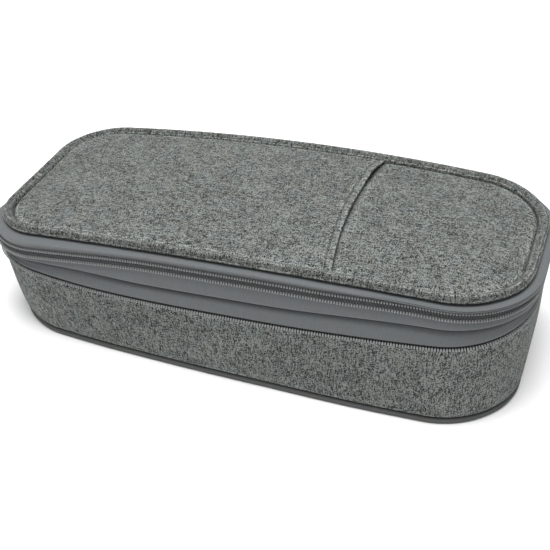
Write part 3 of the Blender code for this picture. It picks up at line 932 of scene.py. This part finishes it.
def make_rim():
    ring = Ring(ZIP_SHAPE, closed_t(1.2))
    lid = lid_level(ring.x)
    inner = lid_level(ring.x - ring.normal[:, 0] * RIM_INSET)
    uneven = 0.1 * ripple(ring.run, 0.0, 14, 21)
    crest = lid + 1.45 - 0.7 * ring.y / ZIP_SHAPE[1] + uneven
    # Its cloth is the darker welt weave: painted shade on the rim's face, and a painted highlight on its
    # crest.
    rim = sheet_loft("rim_roll", ring, [
        (-6.0, inner - 2.2), (-5.1, inner - 2.3), (-4.55, inner - 1.8), (-4.2, lid - 0.3),
        (-3.5, crest - 0.8), (-2.4, crest - 0.25), (-1.45, crest), (-1.05, crest - 0.3),
        (-0.8, crest - 0.9), (-0.45, lid + 0.4), (-0.1 + uneven, lid - 0.3), (-0.3 + uneven, lid - 0.85),
        (-0.8, lid - 1.2), (-3.6, lid - 1.45),
    ], 0.7, True, "welt")
    finish_piece(rim, "lid", "rim_welt")


def puffed(edge, height):
    """Rise of a padded panel inward from its seam: steep at first, then slow."""
    return height * (1 - 0.72 * np.exp(-edge / 0.55) - 0.28 * np.exp(-edge / 4))


def top_height(x, y, edge):
    """Top face of the panel under the pocket's layer and beside it."""
    rise = puffed(edge, 2.2) + 1.3 * smooth(edge / 30)
    under = smooth((mouth_line(y) + 2.2 - x) / 2.6)
    uneven = 0.14 * ripple(x, y, 38, 31) * smooth(edge / 6)
    return lid_level(x) - 2.5 + rise + uneven - 1.0 * under * smooth(edge / 1.2)


def mouth_line(y):
    """The pocket's mouth, which runs slightly slanted and curved across the lid."""
    return 34.6 - 0.03 * y + 0.0019 * y**2


def gape(x, y):
    """How far the mouth stands open: most in its back third and near its front end."""
    near = smooth(1 - (mouth_line(y) - x) / 16)
    return near * (bell(y - 30, 9) + 0.35 * bell(y + 4, 14) + 0.75 * bell(y + 36, 8))


def pocket_height(x, y, edge):
    """Top face of the pocket's layer, with the sewn and folded hem along its mouth."""
    rise = puffed(edge, 2.75) + 1.3 * smooth(edge / 30)
    uneven = 0.16 * ripple(x, y, 42, 33) * smooth(edge / 6)
    back = mouth_line(y) - x
    seam = -0.3 * bell(back - 3.0, 0.55)
    fold = 0.3 * smooth(1 - back / 3) - 0.3 * smooth(1 - back / 0.7)
    lift = 1.5 * gape(x, y) * smooth(edge / 2.5)
    return lid_level(x) - 2.1 + rise + uneven + (seam + fold) * smooth(edge / 1.5) + lift


def mouth_warp(grid):
    """Moves the straight edge of the pocket's grid onto its slanted, curved mouth."""
    x, y = grid[..., 0], grid[..., 1]
    share = smooth(1 - (POCKET_MOUTH - x) / 30)
    return np.dstack([x + (mouth_line(y) - POCKET_MOUTH) * share, y])


def pocket_ring():
    """The outline left of the pocket's mouth, from the mouth round the front and the left end to the back."""
    front_run = -POCKET_MOUTH
    runs = np.concatenate([
        POCKET_MOUTH - np.array([0, 0.35, 0.8, 1.4, 2.0, 2.5, 2.9, 3.3, 3.8, 4.6, 6.0]),
        np.linspace(POCKET_MOUTH - 8, front_run, 40),
    ])
    front_t = np.linspace(5.5, 7.5, 4001)
    around = open_t(-FULL_LENGTH / 2 + 0.1, front_run)[:-1]
    half = np.concatenate([np.interp(runs, run_of(front_t), front_t), around[around > 4.5][::-1]])
    ring = Ring(ZIP_SHAPE, half)
    back = Ring(ZIP_SHAPE, 9.0 - half[::-1])
    for key in ("place", "normal", "x", "y", "run"):
        setattr(ring, key, np.concatenate([getattr(ring, key), getattr(back, key)]))
    return ring


def make_top():
    ring = Ring(ZIP_SHAPE, closed_t())
    top = panel("lid_top", ring, RIM_INSET, top_height, 0.8, True, "heather", rings=DENSE_RINGS)
    finish_piece(top, "lid", "top_panel")
    pocket = panel("pocket_layer", pocket_ring(), RIM_INSET, pocket_height, 0.8, False, "heather",
                   warp=mouth_warp, rings=DENSE_RINGS)
    finish_piece(pocket, "lid", "pocket_panel")


def make_lid_inside():
    ring = Ring(ZIP_SHAPE, closed_t())

    def level(offset):
        return lambda x, y, edge: lid_level(x) + offset + 0.12 * ripple(x, y, 30, 41) * smooth(edge / 8)
    lining = panel("lid_lining_cloth", ring, 0.9, level(-3.0), 0.6, True, "lining")
    finish_piece(lining, "lid", "lid_lining")
    board = panel("lid_stiffener", ring, BOARD_INSET, level(-1.9), 0.8, True, "board")
    finish_piece(board, "lid", "lid_board")


def make_leaf_inside():
    """The divider's two linings, whose edge bends to reach the seam between the leaf's two bands."""
    ring = Ring(ZIP_SHAPE, closed_t())
    seam = np.clip(seam_line(ring) - leaf_level(ring.x), -1.8, 2.2) * (1 - smooth((ring.y - 40) / 4))

    def level(offset, seed):
        def height(x, y, edge):
            bend = seam[None] * smooth(1 - edge / 4)
            uneven = 0.1 * ripple(x, y, 30, seed) * smooth(edge / 8)
            return leaf_level(x) + offset * smooth((edge + 1) / 2.5) + bend + uneven
        return height
    layers = [
        ("leaf_top_cloth", "leaf_top_lining", 1.5, 0.7, 43),
        ("leaf_bottom_cloth", "leaf_bottom_lining", -0.8, -1.5, 44),
    ]
    for name, node, high, low, seed in layers:
        piece = panel(name, ring, 1.3, level(high, seed), level(low, seed), True, "lining")
        finish_piece(piece, "leaf", node)


def spine_ring():
    """The straight part of the back, from right to left."""
    t = closed_t(1.2)
    ring = Ring(ZIP_SHAPE, t)
    return Ring(ZIP_SHAPE, t[(ring.y > 30) & (ring.x >= SPINE_LEFT) & (ring.x <= SPINE_RIGHT)])


def make_spine_cloth(name, ring, node, face):
    """A strip of shell cloth across its hinge line, from the body below to the one above."""
    piece = sheet_loft(name, ring, face, 0.7, False, "heather")
    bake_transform(piece)
    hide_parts(node)


def make_spine():
    """Two strips along the back: body to leaf, and leaf to lid with its hem over the first."""
    ring = spine_ring()
    leaf, rim = leaf_level(ring.x), rim_level(ring.x)
    fold, upper_fold = leaf - LEAF_FOLD, leaf + LID_FOLD_ABOVE
    soft = 0.12 * ripple(ring.run, 0.0, 26, 51)
    make_spine_cloth("lower_spine", ring, "leaf_spine", [
        (0.45, upper_fold - 1.3), (0.5 + soft, leaf + 2.2), (0.5, leaf), (0.45 + soft, fold + 1.2),
        (0.6, fold), (1.0 + soft, fold - 1.4), (1.75, fold - 3.4), (1.85, fold - 6.2),
    ])
    make_spine_cloth("upper_spine", ring, "lid_spine", [
        (-0.3, rim + 0.2), (0.55, rim - 0.7), (1.15 + soft, rim - 2.0), (1.35 + soft, (rim + upper_fold) / 2),
        (1.3, upper_fold + 0.6), (1.3, upper_fold - 0.9), (1.35 + soft, upper_fold - 2.6),
        (1.25, upper_fold - 4.2),
    ])
    seams = [
        ("spine_base_stitches", "base", 2.0, fold - 5.2),
        ("spine_leaf_stitches", "leaf", 1.45, upper_fold - 3.4),
        ("spine_lid_stitches", "lid", 1.35, rim - 2.2),
    ]
    for name, body, out, z in seams:
        stitches(name, ring.at(out, z), ring.at(1, z) - ring.at(0, z), body)


def stitches(name, line, outward, body, length=2.1, gap=0.9, thick=0.22, sides=8):
    """A run of lockstitches: each a plump little bar that dives into the cloth at both ends."""
    travelled = lengths(line)
    count = int(travelled[-1] / (length + gap))
    middle = (np.arange(count) + 0.5) * travelled[-1] / count
    sections = np.array([-1.0, -0.82, -0.45, 0.0, 0.45, 0.82, 1.0])
    size = thick * np.sqrt(1 - (0.97 * sections) ** 2) ** 0.6
    spine = on_line(line, travelled, middle[:, None] + sections * length / 2)
    up = unit(on_line(outward, travelled, middle))
    across = unit(np.cross(spine[:, -1] - spine[:, 0], up))
    spine = spine - up[:, None] * (thick * 0.9 * sections**2)[:, None]
    turns = 2 * math.pi * np.arange(sides)[:, None] / sides
    rim = up[:, None] * np.cos(turns) + across[:, None] * np.sin(turns)
    copies = spine[:, :, None] + rim[:, None] * size[:, None, None]
    piece = many(name, copies.reshape(count, -1, 3), bar_faces(len(sections), sides), "thread")
    finish_piece(piece, body)


def loop_path():
    """(y, z) of the pen band's middle at even distances, and its full length."""
    points = []
    for index in range(LOOPS):
        middle = (index - (LOOPS - 1) / 2) * LOOP_PITCH
        lean = 1.0 + 0.05 * math.sin(3.1 * index)
        for turn in np.linspace(math.pi, 0, 15):
            points.append((middle + LOOP_HALF * math.cos(turn) * (1 + 0.12 * math.sin(turn)),
                           LOOP_HEIGHT * lean * math.sin(turn) ** 0.8 + 0.3))
    points = np.array([(points[0][0] - LOOP_FOOT, 0.3), *points, (points[-1][0] + LOOP_FOOT, 0.3)])
    travelled = lengths(points)
    return on_line(points, travelled, np.linspace(0, travelled[-1], 200)), float(travelled[-1])


def make_pen_band():
    """Elastic loops along the divider, sewn down between the loops."""
    path, length = loop_path()
    along = unit(np.gradient(path, axis=0))
    widths = np.linspace(-1, 1, 15)
    section = [(w, 1.0) for w in widths] + [(w, -1.0) for w in widths[::-1]]
    rows = []
    for (y, z), (along_y, along_z) in zip(path, along):
        pinch = 1 - 0.08 * math.cos(2 * math.pi * y / LOOP_PITCH) ** 2
        row = []
        for w, side in section:
            rib = 0.12 * math.cos(w * 6 * math.pi)
            offset = side * (ELASTIC + rib) * 0.5 * (1 - 0.5 * abs(w) ** 6)
            x = BAND_X + w * BAND_HALF * pinch
            row.append((x, y - along_z * offset, leaf_level(x) + LOOP_SEAT + z + along_y * offset))
        rows.append(row)
    piece = loft("pen_loops", np.array(rows), False, "elastic")
    finish_piece(piece, "leaf", "pen_band")


def make_bartacks():
    """Dense zigzag tacks across the band, one between each pair of loops and one at each end."""
    for index in range(LOOPS + 1):
        y = (index - LOOPS / 2) * LOOP_PITCH
        if index in (0, LOOPS):
            y -= math.copysign(0.32, y)
        x = np.linspace(BAND_X - BAND_HALF * 0.8, BAND_X + BAND_HALF * 0.8, TACK_POINTS)
        zigzag = y + 0.45 * np.where(np.arange(TACK_POINTS) % 2, 1, -1)
        line = np.column_stack([x, zigzag, leaf_level(x) + LOOP_SEAT + 0.3 + ELASTIC * 0.75])
        up = np.tile((0.0, 0.0, 1.0), (TACK_POINTS, 1))
        stitches("bartack_%d" % index, line, up, "leaf", length=1.05, gap=0.1, thick=0.2)


def net_cells():
    """Hexagonal net cells as flat plates with a hole, welded: points, faces and free edges."""
    corners = [(math.cos(math.radians(60 * k + 30)), math.sin(math.radians(60 * k + 30))) for k in range(6)]
    outer, inner = NET_CELL / math.sqrt(3), (NET_CELL - NET_RIB) / math.sqrt(3)
    builder = bmesh.new()
    for j in range(int((NET_BACK - NET_FRONT) / (outer * 1.5))):
        y = NET_FRONT + outer + j * outer * 1.5
        shift = NET_CELL / 2 if j % 2 else 0.0
        for i in range(int((2 * NET_HALF - shift) / NET_CELL)):
            x = -NET_HALF + NET_CELL / 2 + shift + i * NET_CELL
            rims = [[builder.verts.new((x + size * a, y + size * b, 0.0)) for a, b in corners]
                    for size in (outer, inner)]
            for face in between(*rims):
                builder.faces.new(face)
    bmesh.ops.remove_doubles(builder, verts=builder.verts, dist=0.01)
    builder.verts.index_update()
    points = np.array([vertex.co[:] for vertex in builder.verts])
    faces = [[vertex.index for vertex in face.verts] for face in builder.faces]
    edges = [[vertex.index for vertex in edge.verts] for edge in builder.edges if edge.is_boundary]
    builder.free()
    return points, faces, edges


def make_net():
    """The net itself: the flat cells with a thickness, hung under the lid with a slight sag."""
    points, faces, edges = net_cells()
    x, y = points[:, 0], points[:, 1]
    sag = 0.5 * np.sin(math.pi * (x + NET_HALF) / (2 * NET_HALF)) * np.sin(
        math.pi * np.clip((NET_BACK - y) / (NET_BACK - NET_FRONT), 0.0, 1.0))
    z = lid_level(x) - NET_BELOW - sag
    count = len(points)
    everything = np.concatenate([np.column_stack([x, y, z]), np.column_stack([x, y, z - NET_THICK])])
    solid = [tuple(face) for face in faces]
    solid += [tuple(count + i for i in reversed(face)) for face in faces]
    solid += [(a, b, count + b, count + a) for a, b in edges]
    layout = everything[np.array(solid).ravel(), :2]
    net = piece_from("net_pocket", everything, solid, layout, "mesh")
    return finish_piece(net, "lid", "mesh_pocket")


def make_mesh_pocket():
    """Net pocket under the lid, with its gathered binding and a sewn tape round its other sides."""
    net = make_net()
    mouth = [(-NET_HALF, NET_MOUTH), (NET_HALF, NET_MOUTH)]
    binding = net_edge("net_binding", mouth, 1.3, 0.75, "elastic", 0.18)
    finish_piece(binding, "lid", "mesh_binding")
    path = [(-NET_HALF, NET_FRONT - 1)] + [
        (-NET_HALF + NET_CORNER * (1 - math.cos(a)), NET_BACK - NET_CORNER * (1 - math.sin(a)))
        for a in np.linspace(0, math.pi / 2, 8)]
    path += [(-x, y) for x, y in reversed(path)]
    tape = net_edge("net_seam_tape", path, 1.6, 0.5, "piping", 0.05)
    finish_piece(tape, "lid")
    line = net_path(path, 1.2)
    line[:, 2] = lid_level(line[:, 0]) - NET_BELOW - 0.85
    down = np.tile((0.0, 0.0, -1.0), (len(line), 1))
    stitches("net_stitches", line, down, "lid", length=1.8)


def net_path(path, spacing):
    """The path's corner points, filled in at an even spacing: (x, y, distance along it)."""
    path = np.array(path)
    travelled = lengths(path)
    even = np.linspace(0, travelled[-1], int(travelled[-1] / spacing) + 1)
    return np.column_stack([on_line(path, travelled, even), even])


def net_edge(name, path, half, thick, look, gather):
    """Soft folded tape that lies along the path under the lid's lining."""
    line = net_path(path, 0.8)
    along = unit(np.gradient(line[:, :2], axis=0))
    turns = np.linspace(0, 2 * math.pi, 17)[:-1]
    rows = []
    for (x, y, travelled), (along_x, along_y) in zip(line, along):
        swollen = 1 + gather / thick * math.sin(travelled / 1.05) * (0.7 + 0.3 * math.sin(travelled * 0.31))
        row = []
        for turn in turns:
            across = half * np.sign(math.cos(turn)) * abs(math.cos(turn)) ** 0.6
            px, py = x + along_y * across, y - along_x * across
            row.append((px, py, lid_level(px) - NET_BELOW - NET_THICK / 2 + thick * swollen * math.sin(turn)))
        rows.append(row)
    return loft(name, np.array(rows), False, look)


def corner(builder, place, *where):
    """Corner of a metal piece, whose builder is in metres."""
    return builder.verts.new(Vector(place(*where)) * MM)


def slab(builder, outline, low, high, place, bevel, hole=None):
    """Bevelled plate with an outline, and a hole with as many points as the outline if it has one."""
    rims = [[[corner(builder, place, p, q, side) for p, q in line] for side in (low, high)]
            for line in (outline, hole) if line]
    if hole is None:
        faces = [rims[0][0][::-1], rims[0][1]]
    else:
        faces = [*between(rims[0][0], rims[1][0]), *between(rims[0][1], rims[1][1])]
    for rim in rims:
        faces += between(*rim)
    for face in faces:
        builder.faces.new(face)
    loops = [loop for rim in rims for loop in rim]
    edges = [builder.edges.get(ends) for loop in loops for ends in zip(loop, loop[1:] + loop[:1])]
    bmesh.ops.recalc_face_normals(builder, faces=builder.faces)
    bmesh.ops.bevel(builder, geom=edges, offset=bevel * MM, segments=2, profile=0.6, affect="EDGES")


def turned(builder, profile, place, steps=20):
    """Solid turned about a line; profile holds (distance along, radius), closed if it has a bore."""
    bored = profile[0] == profile[-1]
    turns = [2 * math.pi * k / steps for k in range(steps)]
    rims = [[corner(builder, place, radius * math.cos(a), radius * math.sin(a), along) for a in turns]
            for along, radius in (profile[:-1] if bored else profile)]
    faces = [] if bored else [rims[0][::-1], rims[-1]]
    if bored:
        rims.append(rims[0])
    for pair in zip(rims, rims[1:]):
        faces += between(*pair)
    for face in faces:
        builder.faces.new(face)


def mirrored_outline(half):
    """Closed outline from its upper half, which runs from one end to the other."""
    return half + [(p, -q) for p, q in reversed(half) if abs(q) > 1e-6]


def slider_shape(level):
    """Zip slider: two shield-shaped plates, the post between them, guide flanges, ears and a pin."""
    builder = bmesh.new()

    def on_wall(along, up, depth):
        return (-HALF_LENGTH - depth, SLIDER_Y + along, level + up)

    def upright(across, along, up):
        return (PIN_X + across, SLIDER_Y + along, level + up)

    shield = mirrored_outline([
        (-4.15, 0.0), (-4.1, 1.5), (-3.7, 2.2), (-2.4, 2.65), (0.4, 3.05), (2.2, 3.38), (3.3, 3.3),
        (3.95, 2.8), (4.1, 2.1), (3.75, 1.2), (3.2, 0.7), (3.0, 0.0)])
    for start, end in ((1.12, 2.05), (-2.2, -1.25)):
        slab(builder, shield, start, end, on_wall, 0.2)
    for side in (-1, 1):
        flange = [(-3.4, side * 2.3), (0.4, side * 2.85), (2.4, side * 3.2), (2.3, side * 2.75),
                  (0.4, side * 2.45), (-3.4, side * 1.95)]
        slab(builder, flange, 0.62, 1.4, on_wall, 0.08)
        arch = [(-0.62 * math.sin(a), 0.68 * math.cos(a)) for a in np.linspace(0.15, math.pi - 0.15, 9)]
        ear = [(0.95, -1.75), (0.95, 1.75), (0.3, 1.35), *arch, (0.3, -1.35)]
        slab(builder, ear, side * 2.38, side * 3.02, upright, 0.1)
    post = mirrored_outline([(1.2, 0.0), (1.5, 0.16), (2.4, 0.19), (2.9, 0.0)])
    slab(builder, post, -1.4, 1.3, on_wall, 0.02)
    turned(builder, [(-3.24, 0.14), (-3.12, 0.3), (3.12, 0.3), (3.24, 0.14)], upright)
    return builder


def slot_outline(count):
    """The pull's long slot, by even angles from its far end, to match the tab's outline."""
    slot = []
    for index in range(count):
        turn = math.pi * (1 - 2 * index / count)
        reach = (abs(math.cos(turn) / SLOT_LONG) ** SLOT_POWER
                 + abs(math.sin(turn) / SLOT_WIDE) ** SLOT_POWER) ** (-1 / SLOT_POWER)
        slot.append((SLOT_PLACE + reach * math.cos(turn), reach * math.sin(turn)))
    return slot


def pull_shape(level):
    """Pull tab: a barrel on the slider's pin, and a tapered tab with a slot and grip bars."""
    builder = bmesh.new()

    def flat(along, up, depth):
        return (PIN_X - depth, SLIDER_Y - along, level + up)

    def upright(across, along, up):
        return (PIN_X + across, SLIDER_Y + along, level + up)

    turned(builder, [(-1.95, 0.34), (-1.95, 0.56), (1.95, 0.56), (1.95, 0.34), (-1.95, 0.34)], upright)
    side = [(0.42, 0.0), (0.42, 0.9), (0.44, 1.7), (1.2, 1.72)]
    side += [(d, 1.5 + 0.65 * float(smooth((d - 2.0) / 8.0))) for d in np.linspace(2.2, 17.4, 16)]
    side += [(17.75 + 2.15 * math.sin(a), 2.15 * math.cos(a)) for a in np.linspace(0.1, math.pi / 2, 9)]
    side[-1] = (side[-1][0], 0.0)
    outline = mirrored_outline(side)
    slab(builder, outline, -0.4, 0.4, flat, 0.1, slot_outline(len(outline)))
    for bar in range(4):
        place = 5.2 + 1.25 * bar
        grip = [(place + 0.3 * math.cos(a), 1.25 * np.sign(math.sin(a)) * abs(math.sin(a)) ** 0.5)
                for a in np.linspace(0, 2 * math.pi, 17)[:-1]]
        slab(builder, grip, -0.54, 0.54, flat, 0.08)
    return builder


def make_closures():
    for number in (1, 2):
        low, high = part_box("zip%d_slider" % number)
        level = (low[2] + high[2]) / 2 / MM
        for kind, shape, part in (("slider", slider_shape, "body"), ("pull", pull_shape, "tab")):
            node = "zip%d_%s" % (number, kind)
            piece = finished_mesh("%s_%s" % (node, part), shape(level), ["metal"], 40)
            finish_piece(piece, node, node)


def keep_node(name, look):
    """Gives a CAD node that stays its procedural material."""
    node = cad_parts[name]
    node.data.materials.clear()
    node.data.materials.append(LOOKS[look])


make_camera()
make_studio()
LOOKS = make_materials()
make_body()
make_bottom()
make_bands()
make_zip_rows()
make_rim()
make_top()
make_lid_inside()
make_leaf_inside()
make_spine()
make_pen_band()
make_bartacks()
make_mesh_pocket()
make_closures()
keep_node("leaf_board", "board")
